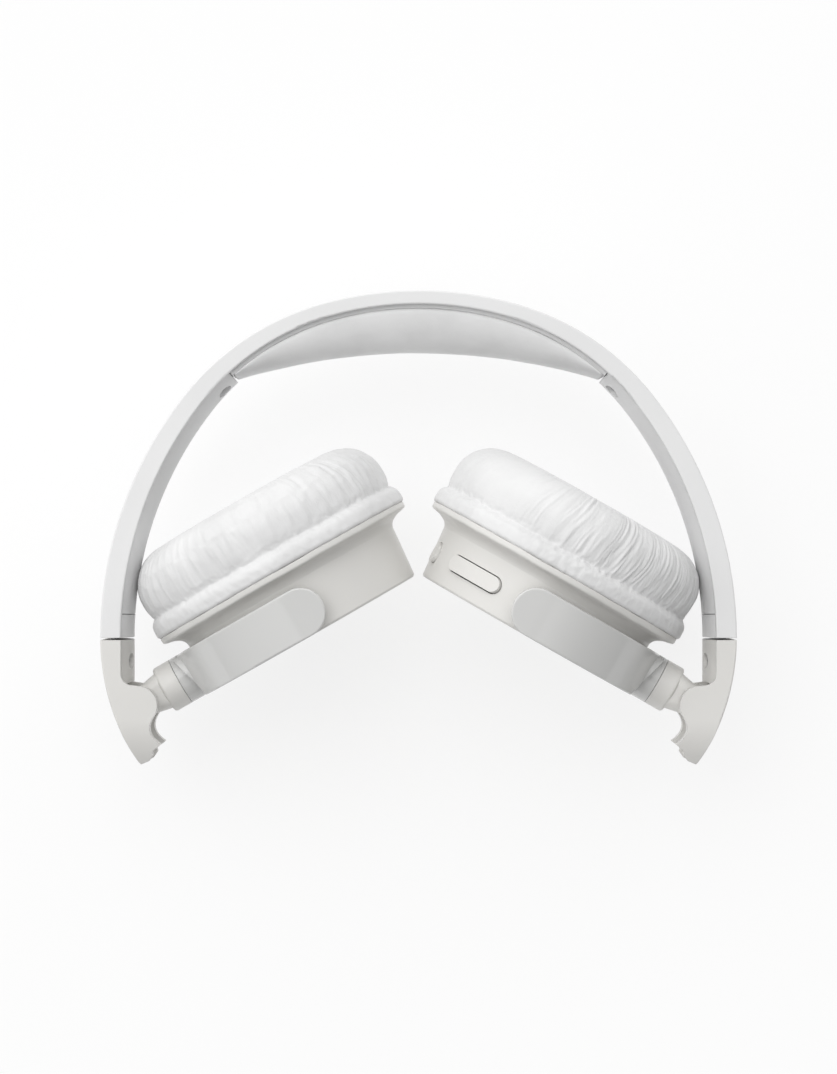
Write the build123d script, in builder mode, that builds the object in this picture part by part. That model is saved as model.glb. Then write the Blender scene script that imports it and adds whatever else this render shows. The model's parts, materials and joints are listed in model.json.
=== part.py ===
"""Folding wireless on-ear headphones, folded up and lying on their back, in millimetres.

+X runs from the left cup to the right cup, +Y towards the crown of the headband, +Z up towards
the front of the headband. The origin is the middle of the footprint on the surface below.
Left pieces are drawn and right pieces are their mirror images, apart from the controls.
"""

import math
import os

from build123d import *

# Everywhere
EDGE = 0.5  # rounding of long outer edges
RUN = 0.05  # radial clearance of pins and shafts
CUT = 2.0  # how far a cutter reaches past the face that it cuts

# Headband
HALF_WIDTH = 85.0  # from the middle to the outer skin, at the band's ends
CROWN_HEIGHT = 92.9  # from the band's ends up to the crown
CROWN_R = 96.1
BAND_DEPTH = 24.0
SKIN = 2.0
RIM_WALL = 2.4  # front and back walls of the channel
RIM_CROWN, RIM_END = 3.7, 5.5  # height of those walls at the crown and at the ends
RIM_CROWN_R = 86.0
CREST = 2.8  # how far the inner trim stands proud of the rims
TRIM_BACK = 0.4  # how far it reaches back into the channel
TRIM_W = BAND_DEPTH - 2 * RIM_WALL - 0.2
SHOULDER_MIN_R = 65.0  # every arc of the band's outlines is wider than this
TURNS = (0, 16, 52, 90)  # where the crown, shoulder and side arcs meet, in degrees turned
PAD_TURN = 42.7  # where the pad ends
COLLAR_TURN = 86.4  # where the end collar starts
PAD_DROP = 12.6  # from the rim at the crown to the pad's underside
PAD_END_X, PAD_END_Y = -49.5, 69.3
PAD_W = 21.0
PAD_BASE, PAD_EDGE = 1.0, 1.5
SPRING_T, SPRING_W, SPRING_TURN = 0.8, 14.0, 66.0

# Screws of the inner trims, in pairs astride the crest
SCREW_R, SCREW_HEAD_R, SCREW_RECESS_R, SCREW_SPREAD = 0.9, 1.9, 2.1, 3.8
SCREW_HEAD_T, SCREW_BITE = 0.9, 2.4  # head, and depth of thread in a boss
SCREW_SEAT = 0.8  # from the rim line up to the underside of a head
SLOT_L, SLOT_W, SLOT_DEPTH = 2.2, 0.5, 0.6
SCREW_BOSS_R, SCREW_BOSS_L = 2.4, 3.2
UPPER_SCREW_TURN = 46.5
ARM_SCREW_DROP = 6.4

# Slider and hinge arm
ARM_DROP = 34.0  # from the band's ends down to the tip of an arm
ARM_R, ARM_TURN = 60.3, 34.2  # outer skin of an arm
ARM_SKIN = 1.2
GAP = 0.6  # between the band's end and the arm
ARM_CENTRE = (ARM_R - HALF_WIDTH, 0)
TAPER_START, TAPER_R, TAPER_ANGLE = -21.9, 20.0, 38  # how the arm's front and back curve in
FOLD_X, FOLD_Y = -75.0, -18.1  # fold axis of the left arm, from the band's end level
LOBE_R, LOBE_GAP = 5.2, 1.2
ARM_RIM_R = 3.0  # the hollow corner between an arm's rim and its lobe
CLEVIS_GAP = 13.5  # between the arm's two walls
PIN_R, PIN_L = 1.6, 21.0
RAIL_LEAN = 8.34  # degrees from upright
RAIL_T, RAIL_W, RAIL_TOP, RAIL_BOTTOM = 1.2, 12.0, 30.0, -6.0
RAIL_X = -81.9  # at the band's end level

# Knuckle and yoke, along the folded arm of the cup
FOLD_LEAN = 29.7  # degrees that the folded cup rises from level
EYE_R, KNUCKLE_W = 4.6, 13.0
NECK_START, NECK_W, NECK_DEPTH, NECK_CORNER = 2.2, 10.8, 11.0, 3.2  # from eye to boss
BOSS_R, BOSS_START, BOSS_EDGE, SPLIT = 6.55, 7.2, 0.8, 12.5
SHAFT_R, SHAFT_TIP, SHAFT_L = 2.4, 6.2, 9.6
GROOVE_R, CLIP_R, CLIP_T, CLIP_MOUTH = 1.9, 3.4, 0.8, 2.0
PIVOT = 50.9  # from the fold axis to the tilt axis
YOKE_IN, YOKE_OUT, YOKE_W = 33.0, 36.0, 13.2
SLANT_NEAR, SLANT_FAR = 13.0, 18.2  # where the flat yoke starts, past its inner and outer edge
SHOULDER_Z, SHOULDER_R = 10.0, 6.2
PIVOT_PIN_R, PIVOT_PIN_START, PIVOT_BITE = 1.5, 28.6, 3.2
PIVOT_BOSS_R, PIVOT_BOSS_T = 3.4, 1.4
PIVOT_EYE_START, PIVOT_EYE_L = 28.0, 2.4

# Cup: radii, and heights outwards from the tilt axis
CUSHION_R = 38.0
FACE_R, FACE_T = 30.6, 6.6
NECK_R, NECK_T = 31.9, -8.0
WALL = 1.8
LIP_R, LIP_T, LIP_BOTTOM = 37.4, -10.7, -12.6
BODY_R, BODY_TOP, BODY_CORNER, ROLL_W = 36.6, -33.9, 11.5, 5.2
WELL_R, WELL_CORNER = 16.0, 6.0
COVER_R, COVER_T = 29.4, 1.6
BAFFLE_R, BAFFLE_HOLE_R = 31.0, 1.4
BAFFLE_HOLES = ((5, 6), (11, 12))  # rings of holes: radius, number
CUP_SCREWS, CUP_SCREW_RING, CUP_SCREW_L = 3, 25.5, 6.5
DRIVER_R, DRIVER_DEPTH, MAGNET_R = 17.0, 5.0, 8.5
MESH_T = 0.8
BATTERY, BATTERY_R, BATTERY_T = (30.0, 20.0, 4.6), 2.0, -2.6
BOARD_R, BOARD_CUT, BOARD_T, BOARD_THICK = 21.0, 12.0, 0.4, 1.2
CHIPS, CHIP_W = ((-6, 2), (8, -6), (8, 6)), 7.0

# Controls on the right cup, in degrees around its wall from the top
ROCKER_AT, ROCKER_L, ROCKER_W = 38.5, 18.6, 4.4
POWER_AT, POWER_L, POWER_W = 75.0, 4.2, 5.6
PORT_AT, PORT_L, PORT_W = 105.0, 9.0, 3.2
BUTTON_T = -0.8
BUTTON_IN, BUTTON_PROUD, BUTTON_GAP, BUTTON_CUT = 27.6, 0.8, 0.25, 11.0
PORT_SKIN, PORT_DEPTH, PORT_TONGUE_L, PORT_TONGUE_W = 0.7, 6.2, 6.6, 0.8
SWITCH_T, SWITCH_W, SWITCH_BODY, SWITCH_TIP, SWITCH_TIP_R = 3.0, 3.5, 1.6, 0.5, 0.8

UP = Vector(0, 0, 1)
ENDS_Y = -(CROWN_HEIGHT - ARM_DROP) / 2
MID_Z = CUSHION_R
LEAN = math.radians(FOLD_LEAN)
ALONG = Vector(math.cos(LEAN), math.sin(LEAN), 0)
OUTWARD = Vector(math.sin(LEAN), -math.cos(LEAN), 0)
FOLD = Vector(FOLD_X, ENDS_Y + FOLD_Y, MID_Z)
CUP = FOLD + ALONG * PIVOT
MID = Plane((0, ENDS_Y, MID_Z))
FOLD_PLANE = Plane(FOLD, x_dir=ALONG)  # x along the folded cup arm, seen from above
CUP_PLANE = Plane(CUP, x_dir=ALONG, z_dir=OUTWARD)  # x along the arm, y up, z outwards
CUP_PROFILE = Plane(CUP, x_dir=ALONG, z_dir=(0, 0, -1))  # x is the radius, y outwards
CUP_AXIS = Axis(CUP, OUTWARD)
ARM_CROSS = Plane(FOLD, x_dir=OUTWARD, z_dir=ALONG)  # square to the folded cup arm

OUTER = (CROWN_HEIGHT, HALF_WIDTH, CROWN_R)
RIM = (CROWN_HEIGHT - RIM_CROWN, HALF_WIDTH - RIM_END, RIM_CROWN_R)


def inset(outline, depth):
    """The same outline, a constant depth further in."""
    return tuple(size - depth for size in outline)


def band_arcs(outline, start=0.0, stop=90.0):
    """Arcs of the left half of a band outline, between two turns from the crown."""
    height, half_width, crown_r = outline
    a, b = (math.radians(turn) for turn in TURNS[1:3])
    reach = half_width - crown_r * math.sin(a)
    rise = height - crown_r * (1 - math.cos(a))
    xs, xe = math.sin(b) - math.sin(a), 1 - math.sin(b)
    ys, ye = math.cos(a) - math.cos(b), math.cos(b)
    det = xs * ye - xe * ys
    radii = (crown_r, (reach * ye - xe * rise) / det, (xs * rise - ys * reach) / det)
    centre, previous, arcs = Vector(0, height - crown_r), crown_r, []
    for low, high, radius in zip(TURNS, TURNS[1:], radii):
        joint = math.radians(low)
        centre += Vector(-math.sin(joint), math.cos(joint)) * (previous - radius)
        previous = radius
        first, last = max(low, start), min(high, stop)
        if first < last:
            arcs.append(CenterArc(centre, radius, 90 + first, last - first))
    return arcs


def band_slice(outer, inner, start=0.0, stop=90.0):
    """The closed outline of the region between two outlines."""
    with BuildLine() as line:
        outside = band_arcs(outer, start, stop)
        inside = band_arcs(inner, start, stop)
        Line(outside[0] @ 0, inside[0] @ 0)
        Line(outside[-1] @ 1, inside[-1] @ 1)
    return line.edges()


def inwards(turn):
    """The direction from the band towards its inside, at a turn."""
    angle = math.radians(turn)
    return Vector(math.sin(angle), -math.cos(angle), 0)


def on_rim(turn, side=0.0):
    """A plane on the rim line at a turn, facing inwards, some way towards the front."""
    spot = band_arcs(RIM, 0, turn)[-1] @ 1
    origin = Vector(spot.X, spot.Y + ENDS_Y, MID_Z + side)
    return Plane(origin, x_dir=(0, 0, 1), z_dir=inwards(turn))


def trim_section(back):
    """The inner trim's section, with a flat back and a low crest."""
    half = TRIM_W / 2
    with BuildLine() as line:
        Polyline((half, 0), (half, -back), (-half, -back), (-half, 0))
        ThreePointArc((-half, 0), (0, CREST), (half, 0))
    return line.edges()


def band_trim(start, stop, back):
    """A stretch of inner trim along the rim."""
    rim = on_rim(start)
    with BuildLine() as line:
        band_arcs(RIM, start, stop)
    path = MID.from_local_coords(line.wire())
    with BuildPart() as piece:
        with BuildSketch(Plane(rim.origin, x_dir=UP, z_dir=UP.cross(rim.z_dir))):
            make_face(trim_section(back))
        sweep(path=path)
    return piece


def screw_pockets(piece, planes):
    """Cuts a recess for a screw's head and a hole for its shaft on each plane."""
    with BuildPart() as cutter:
        for plane in planes:
            with BuildSketch(plane.offset(SCREW_SEAT)):
                Circle(SCREW_RECESS_R)
            extrude(amount=CREST + CUT)
            with BuildSketch(plane.offset(-CREST)):
                Circle(SCREW_R)
            extrude(amount=2 * CREST)
    return piece.part - cutter.part


def trim_screws(planes):
    """Small pan-head screws standing on their planes, heads inwards."""
    with BuildPart() as screws:
        for plane in planes:
            with BuildSketch(plane.offset(SCREW_SEAT)):
                Circle(SCREW_HEAD_R)
            extrude(amount=SCREW_HEAD_T)
            with BuildSketch(plane.offset(-SCREW_BITE)):
                Circle(SCREW_R)
            extrude(amount=SCREW_BITE + SCREW_SEAT)
            with BuildSketch(plane.offset(SCREW_SEAT + SCREW_HEAD_T)):
                Rectangle(SLOT_W, SLOT_L)
                Rectangle(SLOT_L, SLOT_W)
            extrude(amount=-SLOT_DEPTH, mode=Mode.SUBTRACT)
    return screws.part


UPPER_SCREWS = [on_rim(UPPER_SCREW_TURN, side) for side in (-SCREW_SPREAD, SCREW_SPREAD)]
ARM_RIM_X = -HALF_WIDTH + RIM_END
ARM_SCREWS = [
    Plane((ARM_RIM_X, ENDS_Y - ARM_SCREW_DROP, MID_Z + side), x_dir=(0, 0, 1), z_dir=(1, 0, 0))
    for side in (-SCREW_SPREAD, SCREW_SPREAD)
]
RAIL_DIR = Vector(math.sin(math.radians(RAIL_LEAN)), math.cos(math.radians(RAIL_LEAN)), 0)
RAIL_PLANE = Plane((RAIL_X, ENDS_Y, MID_Z), x_dir=RAIL_DIR.cross(UP), z_dir=RAIL_DIR)


def rail(clearance=0.0):
    """The slider's straight steel strip, or the room that it needs."""
    length = RAIL_TOP - RAIL_BOTTOM
    with BuildPart() as strip:
        with BuildSketch(RAIL_PLANE.offset(RAIL_BOTTOM)):
            Rectangle(RAIL_T + 2 * clearance, RAIL_W + 2 * clearance)
        extrude(amount=length + 2 * clearance)
    return strip.part


# Headband


def headband_shell():
    """The outer channel with its front and back walls and its screw bosses."""
    with BuildPart() as shell:
        with BuildSketch(MID):
            make_face(band_slice(OUTER, RIM))
        extrude(amount=BAND_DEPTH / 2, both=True)
        with BuildSketch(MID):
            make_face(band_slice(inset(OUTER, SKIN), inset(RIM, CUT)))
        extrude(amount=BAND_DEPTH / 2 - RIM_WALL, both=True, mode=Mode.SUBTRACT)
        for plane in UPPER_SCREWS:
            with BuildSketch(plane.offset(-TRIM_BACK)):
                Circle(SCREW_BOSS_R)
            extrude(amount=-SCREW_BOSS_L)
            with BuildSketch(plane.offset(-TRIM_BACK)):
                Circle(SCREW_R)
            extrude(amount=TRIM_BACK - SCREW_BITE, mode=Mode.SUBTRACT)
        fillet(shell.edges().filter_by(is_outer_rim), EDGE)
        mirror(about=Plane.YZ)
    return shell.part


def is_outer_rim(edge):
    """True for a long edge on the front or back of the band."""
    on_face = abs(edge.center().Z - MID_Z) > BAND_DEPTH / 2 - CUT / 2
    return on_face and edge.geom_type == GeomType.CIRCLE and edge.radius > SHOULDER_MIN_R


def spring_band():
    """The sprung steel strip along the inside of the shell."""
    with BuildPart() as strip:
        with BuildSketch(MID):
            inside = inset(OUTER, SKIN)
            make_face(band_slice(inside, inset(inside, SPRING_T), 0, SPRING_TURN))
        extrude(amount=SPRING_W / 2, both=True)
        for plane in UPPER_SCREWS:
            with BuildSketch(plane):
                Circle(SCREW_BOSS_R + 0.1)
            extrude(amount=-RIM_END - CUT, mode=Mode.SUBTRACT)
        mirror(about=Plane.YZ)
    return strip.part


def pad_base():
    """The plate that carries the pad and closes the channel at the crown."""
    with BuildPart() as base:
        with BuildSketch(MID):
            make_face(band_slice(inset(RIM, -TRIM_BACK), inset(RIM, PAD_BASE), 0, PAD_TURN - 0.1))
        extrude(amount=TRIM_W / 2, both=True)
        mirror(about=Plane.YZ)
    return base.part


def headband_pad():
    """The foam pad: follows the crown above, a flat arc below."""
    middle = CROWN_HEIGHT - RIM_CROWN - PAD_DROP
    sagitta = middle - PAD_END_Y
    under_r = (PAD_END_X**2 + sagitta**2) / (2 * sagitta)
    sweep_angle = math.degrees(math.asin(-PAD_END_X / under_r))
    with BuildPart() as pad:
        with BuildSketch(MID):
            with BuildLine():
                top = band_arcs(inset(RIM, PAD_BASE), 0, PAD_TURN - 0.4)
                under = CenterArc((0, middle - under_r), under_r, 90, sweep_angle)
                Line(top[0] @ 0, under @ 0)
                Line(top[-1] @ 1, under @ 1)
            make_face()
        extrude(amount=PAD_W / 2, both=True)
        circles = pad.edges().filter_by(GeomType.CIRCLE)
        fillet(circles.filter_by(lambda e: abs(e.radius - under_r) < 1), PAD_EDGE)
        mirror(about=Plane.YZ)
    return pad.part


def end_collar():
    """Closes the band's end and guides the slider's rail."""
    collar = band_trim(COLLAR_TURN + 0.1, 90, RIM_END - SKIN)
    return collar.part - rail(RUN)


# Slider and hinge arm


def arm_outline():
    """The outline of an arm's walls, seen from the front."""
    start = math.degrees(math.asin(GAP / ARM_R))
    lobe_top = FOLD_Y + LOBE_R
    with BuildLine() as line:
        outer = CenterArc(ARM_CENTRE, ARM_R, 180 + start, ARM_TURN - start - 0.6)
        hook = [(0.67, -15.9), (2.9, -14.95), (4.1, -13.2), (3.85, -12.3), (6.2, -10.4)]
        end = Polyline(outer @ 1, *[(FOLD_X + x, FOLD_Y + y) for x, y in hook])
        waist = Spline(end @ 1, (FOLD_X + 3.2, FOLD_Y - 6.4), (FOLD_X + 4.1, FOLD_Y - 3.2))
        lobe = ThreePointArc(waist @ 1, (FOLD_X + LOBE_R, FOLD_Y), (FOLD_X, lobe_top))
        Polyline(lobe @ 1, (ARM_RIM_X, lobe_top + 0.6), (ARM_RIM_X, -GAP), outer @ 0)
    return line.edges()


def arm_skin():
    """A disc with rounded rims, which an arm's outer skin follows."""
    with BuildPart(MID) as disc:
        with Locations(ARM_CENTRE):
            Cylinder(ARM_R, BAND_DEPTH)
        fillet(disc.edges().filter_by(GeomType.CIRCLE), EDGE)
    return disc.part


def arm():
    """The clevis-shaped shell of the hinge arm, thinner towards its tip."""
    half, depth = CLEVIS_GAP / 2, BAND_DEPTH / 2
    lobe_top = FOLD_Y + LOBE_R
    with BuildPart() as shell:
        with BuildSketch(MID) as outline:
            make_face(arm_outline())
            rim_points = outline.vertices().filter_by(lambda v: abs(v.X - ARM_RIM_X) < 0.01)
            fillet(rim_points.sort_by(Axis.Y)[0], ARM_RIM_R)
        extrude(amount=depth, both=True)
        add(arm_skin(), mode=Mode.INTERSECT)
        with BuildSketch(Plane((0, ENDS_Y, MID_Z), x_dir=(0, 1, 0), z_dir=(1, 0, 0))):
            with BuildLine():
                Line((0, 0), (0, depth))
                flat = Line((0, depth), (TAPER_START, depth))
                slope = JernArc(flat @ 1, (-1, 0), TAPER_R, TAPER_ANGLE)
                tip = -ARM_DROP - CUT
                Polyline(slope @ 1, (tip, (slope @ 1).Y), (tip, 0), (0, 0))
            make_face()
            mirror(about=Plane.XZ)
        extrude(amount=-HALF_WIDTH - CUT, mode=Mode.INTERSECT)
        with BuildSketch(MID):
            with Locations(ARM_CENTRE):
                Circle(ARM_R - ARM_SKIN)
            with Locations((FOLD_X, lobe_top)):
                above = (Align.CENTER, Align.MIN)
                Rectangle(ARM_R, ARM_R, align=above, mode=Mode.SUBTRACT)
            with Locations((FOLD_X, FOLD_Y)):
                Circle(LOBE_R + LOBE_GAP)
        extrude(amount=half, both=True, mode=Mode.SUBTRACT)
        with BuildSketch(MID):
            with Locations((ARM_RIM_X - TRIM_BACK, lobe_top - TRIM_BACK)):
                Rectangle(ARM_DROP, ARM_DROP, align=(Align.MIN, Align.MIN))
        extrude(amount=TRIM_W / 2 + 0.1, both=True, mode=Mode.SUBTRACT)
        with BuildSketch(FOLD_PLANE):
            Circle(PIN_R)
        extrude(amount=PIN_L / 2, both=True, mode=Mode.SUBTRACT)
        for plane in ARM_SCREWS:
            with BuildSketch(plane.offset(-TRIM_BACK)):
                Circle(SCREW_R)
            extrude(amount=TRIM_BACK - SCREW_BITE, mode=Mode.SUBTRACT)
        add(rail(), mode=Mode.SUBTRACT)
    return shell.part


def arm_trim():
    """The arm's inner trim, cut back round the knuckle's eye."""
    start = Plane((ARM_RIM_X, ENDS_Y - GAP, MID_Z), x_dir=(0, 0, 1), z_dir=(0, -1, 0))
    section = Plane(start.origin, x_dir=(0, 0, -1), z_dir=(0, -1, 0))
    with BuildPart() as trim:
        with BuildSketch(section):
            make_face(trim_section(TRIM_BACK))
        extrude(amount=-FOLD_Y - GAP - LOBE_R)
        with BuildSketch(FOLD_PLANE):
            Circle(LOBE_R + LOBE_GAP + 0.1)
        extrude(amount=BAND_DEPTH, both=True, mode=Mode.SUBTRACT)
    return screw_pockets(trim, ARM_SCREWS)


def fold_pin():
    """The steel pin of the fold hinge."""
    with BuildPart() as pin:
        with BuildSketch(FOLD_PLANE):
            Circle(PIN_R)
        extrude(amount=PIN_L / 2, both=True)
    return pin.part


# Knuckle and yoke


def is_boss_end(edge):
    """True for the rim of the knuckle's boss that is nearest to the fold pin."""
    return abs((edge.arc_center - FOLD).dot(ALONG) - BOSS_START) < 0.01


def knuckle():
    """The eye on the fold pin, and the round boss that carries the yoke, with a neck between."""
    with BuildPart() as body:
        with BuildSketch(FOLD_PLANE):
            Circle(EYE_R)
        extrude(amount=KNUCKLE_W / 2, both=True)
        with BuildSketch(ARM_CROSS.offset(BOSS_START)):
            Circle(BOSS_R)
        extrude(amount=SPLIT - BOSS_START - 0.1)
        fillet(body.edges().filter_by(GeomType.CIRCLE).filter_by(is_boss_end), BOSS_EDGE)
        with BuildSketch(ARM_CROSS.offset(NECK_START)):
            RectangleRounded(2 * EYE_R - 0.8, KNUCKLE_W - 0.8, NECK_CORNER)
        with BuildSketch(ARM_CROSS.offset(BOSS_START + BOSS_EDGE)):
            RectangleRounded(NECK_W, NECK_DEPTH, NECK_CORNER)
        loft()
        with BuildSketch(ARM_CROSS.offset(SHAFT_TIP)):
            Circle(SHAFT_R + RUN)
        extrude(amount=SPLIT, mode=Mode.SUBTRACT)
        with BuildSketch(ARM_CROSS.offset(SHAFT_TIP)):
            Circle(CLIP_R + 0.1)
        extrude(amount=CLIP_T + 0.2, mode=Mode.SUBTRACT)
        with BuildSketch(FOLD_PLANE):
            Circle(PIN_R + RUN)
        extrude(amount=KNUCKLE_W, both=True, mode=Mode.SUBTRACT)
    return body.part


def swivel_shaft():
    """The steel shaft that the yoke turns on, fixed in the yoke's hub."""
    with BuildPart() as shaft:
        with BuildSketch(ARM_CROSS.offset(SHAFT_TIP + 0.1)):
            Circle(SHAFT_R)
        extrude(amount=SHAFT_L)
        with BuildSketch(ARM_CROSS.offset(SHAFT_TIP + 0.1)):
            Circle(SHAFT_R)
            Circle(GROOVE_R, mode=Mode.SUBTRACT)
        extrude(amount=CLIP_T, mode=Mode.SUBTRACT)
    return shaft.part


def swivel_clip():
    """The ring clipped round the shaft's tip, which holds it in the boss."""
    with BuildPart() as clip:
        with BuildSketch(ARM_CROSS.offset(SHAFT_TIP + 0.1)):
            Circle(CLIP_R)
            Circle(GROOVE_R, mode=Mode.SUBTRACT)
            with Locations((CLIP_R, 0)):
                Rectangle(CLIP_R, CLIP_MOUTH, mode=Mode.SUBTRACT)
        extrude(amount=CLIP_T)
    return clip.part


def yoke():
    """The C-shaped fork: a round hub that flares into a half ring with two round ends."""
    half = YOKE_W / 2
    with BuildPart() as fork:
        with BuildSketch(CUP_PLANE):
            for size, mode in ((YOKE_OUT, Mode.ADD), (YOKE_IN, Mode.SUBTRACT)):
                Circle(size, mode=mode)
                with Locations((size, 0)):
                    Rectangle(2 * size, 2 * size, mode=mode)
        extrude(amount=half, both=True)
        with BuildSketch(Plane(CUP, x_dir=ALONG)):
            Circle(half)
            Rectangle(2 * YOKE_OUT, YOKE_W, align=(Align.MAX, Align.CENTER))
        extrude(amount=2 * YOKE_OUT, both=True, mode=Mode.INTERSECT)
        fillet(fork.edges().filter_by(on_outside), EDGE)
        with BuildSketch(ARM_CROSS.offset(SPLIT)):
            RectangleRounded(YOKE_W, 2 * SHOULDER_Z, SHOULDER_R)
        extrude(amount=PIVOT - YOKE_IN - SPLIT)
        with BuildSketch(FOLD_PLANE):
            with BuildLine():
                side = half + CUT
                Polyline((0, side), (SLANT_NEAR, side), (SLANT_FAR, -side), (0, -side), close=True)
            make_face()
        extrude(amount=YOKE_OUT, both=True, mode=Mode.SUBTRACT)
        with BuildSketch(ARM_CROSS.offset(SPLIT)):
            Circle(BOSS_R)
        extrude(amount=PIVOT - YOKE_IN - SPLIT)
        with BuildSketch(CUP_PLANE):
            Circle(YOKE_IN)
        extrude(amount=YOKE_W, both=True, mode=Mode.SUBTRACT)
        for end in (-1, 1):
            boss = Plane(CUP + UP * end * (YOKE_IN - PIVOT_BOSS_T), z_dir=(0, 0, end))
            with BuildSketch(boss):
                Circle(PIVOT_BOSS_R)
            extrude(amount=PIVOT_BOSS_T + 1)
            with BuildSketch(boss):
                Circle(PIVOT_PIN_R)
            extrude(amount=PIVOT_BITE, mode=Mode.SUBTRACT)
        add(swivel_shaft(), mode=Mode.SUBTRACT)
    return fork.part


def on_outside(edge):
    """True for an edge on the yoke's outer surface."""
    spots = [edge @ t - CUP for t in (0.1, 0.5, 0.9)]
    return all(math.hypot(min(p.dot(ALONG), 0), p.Z) > YOKE_OUT - 0.01 for p in spots)


def pivot_pins():
    """Two short steel pins between the yoke's ends and the cup."""
    with BuildPart() as pins:
        for end in (-1, 1):
            with BuildSketch(Plane(CUP + UP * end * PIVOT_PIN_START, z_dir=(0, 0, end))):
                Circle(PIVOT_PIN_R)
            extrude(amount=YOKE_IN - PIVOT_BOSS_T + PIVOT_BITE - PIVOT_PIN_START)
    return pins.part


# Cup


def turned(*points):
    """A closed profile of (radius, height) points, revolved about the cup's axis."""
    with BuildPart() as piece:
        with BuildSketch(CUP_PROFILE):
            with BuildLine():
                Polyline(*points, close=True)
            make_face()
        revolve(axis=CUP_AXIS)
    return piece.part


def wall_plane(degrees, radius):
    """A plane on the cup's wall, facing outwards, some degrees round from the top."""
    angle = math.radians(degrees)
    radial = ALONG * math.sin(angle) + UP * math.cos(angle)
    origin = CUP + radial * radius + OUTWARD * BUTTON_T
    return Plane(origin, x_dir=radial.cross(OUTWARD), z_dir=radial)


def housing(with_controls):
    """The cup's wall, with bosses for the pivots and the baffle's screws."""
    ledge, ledge_r = FACE_T - COVER_T, COVER_R - 2
    under = ledge - 1.4
    wall = turned(
        (FACE_R, FACE_T - EDGE), (NECK_R, NECK_T), (NECK_R - WALL, NECK_T),
        (FACE_R - WALL, under), (ledge_r, under), (ledge_r, ledge),
        (COVER_R + RUN, ledge), (COVER_R + RUN, FACE_T), (FACE_R - EDGE, FACE_T),
    )
    with BuildPart() as shell:
        add(wall)
        for end in (-1, 1):
            with BuildSketch(Plane(CUP + UP * end * PIVOT_EYE_START, z_dir=(0, 0, end))):
                Circle(2 * PIVOT_PIN_R)
            extrude(amount=PIVOT_EYE_L)
        with BuildSketch(CUP_PLANE.offset(LIP_T)):
            with PolarLocations(CUP_SCREW_RING, CUP_SCREWS):
                Circle(SCREW_BOSS_R)
        extrude(amount=ledge - SKIN / 2 - LIP_T)
        with BuildSketch(CUP_PLANE.offset(LIP_T)):
            with PolarLocations(CUP_SCREW_RING, CUP_SCREWS):
                Circle(SCREW_R)
        extrude(amount=CUP_SCREW_L, mode=Mode.SUBTRACT)
        for end in (-1, 1):
            with BuildSketch(Plane(CUP, z_dir=(0, 0, end))):
                Circle(PIVOT_PIN_R + RUN)
            extrude(amount=YOKE_OUT, mode=Mode.SUBTRACT)
        if with_controls:
            for at, length, width in (
                (ROCKER_AT, ROCKER_L, ROCKER_W),
                (POWER_AT, POWER_L, POWER_W),
                (PORT_AT, PORT_L, PORT_W),
            ):
                gap = 0 if at == PORT_AT else BUTTON_GAP
                with BuildSketch(wall_plane(at, BUTTON_IN - SWITCH_T)):
                    pill(length + 2 * gap, width + 2 * gap)
                extrude(amount=BUTTON_CUT, mode=Mode.SUBTRACT)
    return shell.part


def pill(length, width):
    """Adds a round-ended slot, whichever way it is longer."""
    SlotOverall(max(length, width), min(length, width), rotation=0 if length > width else 90)


def button(at, length, width):
    """A key that follows the wall and stands a little proud of it."""
    taper = (NECK_R - FACE_R) / (FACE_T - NECK_T)
    wall_r = FACE_R + (FACE_T - BUTTON_T) * taper
    with BuildPart() as key:
        with BuildSketch(wall_plane(at, BUTTON_IN)):
            pill(length, width)
        extrude(amount=BUTTON_CUT)
        with BuildSketch(CUP_PLANE):
            Circle(wall_r + BUTTON_PROUD)
        extrude(amount=BUTTON_CUT, both=True, mode=Mode.INTERSECT)
    return key.part


def tact_switches(at, offsets):
    """Small square switches under a key."""
    with BuildPart() as switches:
        for offset in offsets:
            with BuildSketch(wall_plane(at, BUTTON_IN - SWITCH_T)):
                with Locations((offset, 0)):
                    Rectangle(SWITCH_W, SWITCH_W)
            extrude(amount=SWITCH_BODY)
            with BuildSketch(wall_plane(at, BUTTON_IN - SWITCH_T + SWITCH_BODY)):
                with Locations((offset, 0)):
                    Circle(SWITCH_TIP_R)
            extrude(amount=SWITCH_TIP)
    return switches.part


def outer_cover():
    """The flat disc that closes the cup."""
    with BuildPart() as cover:
        with BuildSketch(CUP_PLANE.offset(FACE_T - COVER_T)):
            Circle(COVER_R)
        extrude(amount=COVER_T)
        chamfer(cover.faces().sort_by(Axis(CUP, OUTWARD))[-1].edges(), 0.3)
    return cover.part


def baffle():
    """The plate that carries the driver, perforated behind the ear."""
    with BuildPart() as plate:
        with BuildSketch(CUP_PLANE.offset(LIP_BOTTOM)):
            Circle(BAFFLE_R)
            with PolarLocations(CUP_SCREW_RING, CUP_SCREWS):
                Circle(SCREW_R, mode=Mode.SUBTRACT)
            for ring, count in BAFFLE_HOLES:
                with PolarLocations(ring, count):
                    Circle(BAFFLE_HOLE_R, mode=Mode.SUBTRACT)
        extrude(amount=LIP_T - LIP_BOTTOM)
        with BuildSketch(CUP_PLANE.offset(LIP_BOTTOM)):
            with PolarLocations(CUP_SCREW_RING, CUP_SCREWS):
                Circle(SCREW_HEAD_R)
        extrude(amount=SCREW_HEAD_T, mode=Mode.SUBTRACT)
    return plate.part


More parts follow.
